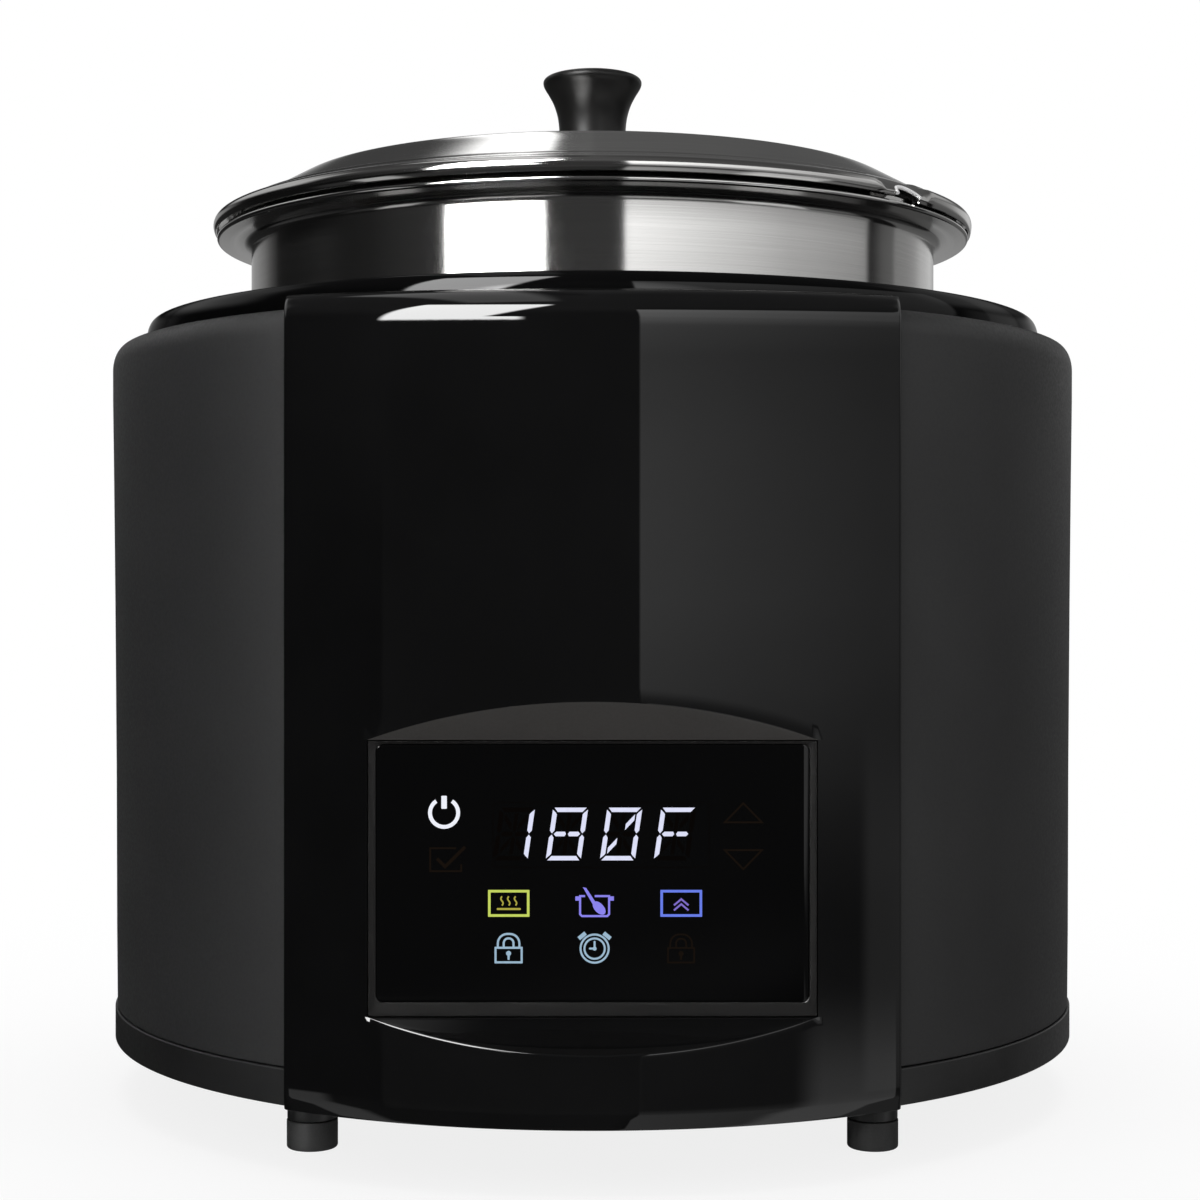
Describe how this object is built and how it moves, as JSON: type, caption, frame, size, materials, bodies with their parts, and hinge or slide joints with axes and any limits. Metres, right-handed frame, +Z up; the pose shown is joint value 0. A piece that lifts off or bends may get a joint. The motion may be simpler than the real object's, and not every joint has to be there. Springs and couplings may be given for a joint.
{
  "type": "kettle warmer",
  "caption": "Round countertop hot stone heater: induction kettle warmer with a lift-out stainless pot, notched lid and gloss black touch display.",
  "frame": {"origin": "on the table plane, on the axis of the round housing", "axes": "+Z up, the display faces -Y, +X to the right of someone facing the display"},
  "size_m": [0.362, 0.3688, 0.3841],
  "materials": {
    "shell_paint": "fine-textured charcoal powder coat",
    "satin_black": "satin black",
    "gloss_black": "gloss black",
    "display_glass": "gloss black glass-look touch window",
    "brushed_steel": "turned and brushed stainless",
    "fastener_steel": "zinc-plated steel",
    "phenolic_black": "semi-gloss phenolic",
    "rubber_black": "matte",
    "silicone_grey": "matte",
    "black_plastic": "matte",
    "circuit_board": "solder mask",
    "pale_plastic": "matte",
    "insulation_fibre": "felted ceramic fibre",
    "mica": "pressed mica sheet",
    "copper": "lacquered copper",
    "ferrite": "sintered",
    "aluminium": "extruded"
  },
  "bodies": {
    "base": {"base_pan": "satin_black", "skirt_ring": "satin_black", "side_shell": "shell_paint", "top_deck": "gloss_black", "deck_gasket": "silicone_grey", "front_panel": "gloss_black", "display_bezel": "satin_black", "display_glass": "display_glass", "digit_module": "pale_plastic", "display_board": "circuit_board", "display_ribbon": "pale_plastic", "well_liner": "black_plastic", "insulation_sleeve": "insulation_fibre", "pot_rest_plate": "mica", "coil_former": "black_plastic", "induction_coil": "copper", "ferrite_bar_1": "ferrite", "ferrite_bar_2": "ferrite", "ferrite_bar_3": "ferrite", "ferrite_bar_4": "ferrite", "coil_support": "black_plastic", "sensor_guide": "black_plastic", "sensor_spring": "fastener_steel", "power_board": "circuit_board", "board_standoff_1": "aluminium", "board_standoff_2": "aluminium", "board_standoff_3": "aluminium", "board_standoff_4": "aluminium", "power_module": "black_plastic", "heat_sink": "aluminium", "filter_capacitor": "ferrite", "choke_coil": "copper", "terminal_block": "pale_plastic", "fan_frame": "black_plastic", "rear_grille": "black_plastic", "power_inlet": "black_plastic", "foot_pad_1": "rubber_black", "foot_spacer_1": "satin_black", "foot_screw_1": "fastener_steel", "base_screw_1": "fastener_steel", "foot_pad_2": "rubber_black", "foot_spacer_2": "satin_black", "foot_screw_2": "fastener_steel", "base_screw_2": "fastener_steel", "foot_pad_3": "rubber_black", "foot_spacer_3": "satin_black", "foot_screw_3": "fastener_steel", "base_screw_3": "fastener_steel", "foot_pad_4": "rubber_black", "foot_spacer_4": "satin_black", "foot_screw_4": "fastener_steel", "base_screw_4": "fastener_steel"},
    "pot": {"pot": "brushed_steel"},
    "lid": {"lid": "brushed_steel", "knob_washer": "fastener_steel", "lid_knob": "phenolic_black", "knob_screw": "fastener_steel"},
    "fan_rotor": {"fan_rotor": "black_plastic"},
    "sensor_plunger": {"sensor_plunger": "aluminium"}
  },
  "joints": [
    {"name": "pot_lift", "type": "slide", "parent": "base", "child": "pot", "axis": [0, 0, 1], "range_m": [0, 0.25]},
    {"name": "lid_lift", "type": "slide", "parent": "pot", "child": "lid", "axis": [0, 0, 1], "range_m": [0, 0.1]},
    {"name": "fan_spin", "type": "hinge", "parent": "base", "child": "fan_rotor", "pos_m": [0, 0.1, 0.03], "axis": [0, 0, 1], "continuous": true},
    {"name": "sensor_press", "type": "slide", "parent": "base", "child": "sensor_plunger", "axis": [0, 0, 1], "range_m": [-0.003, 0], "deforming": ["sensor_spring"]}
  ]
}
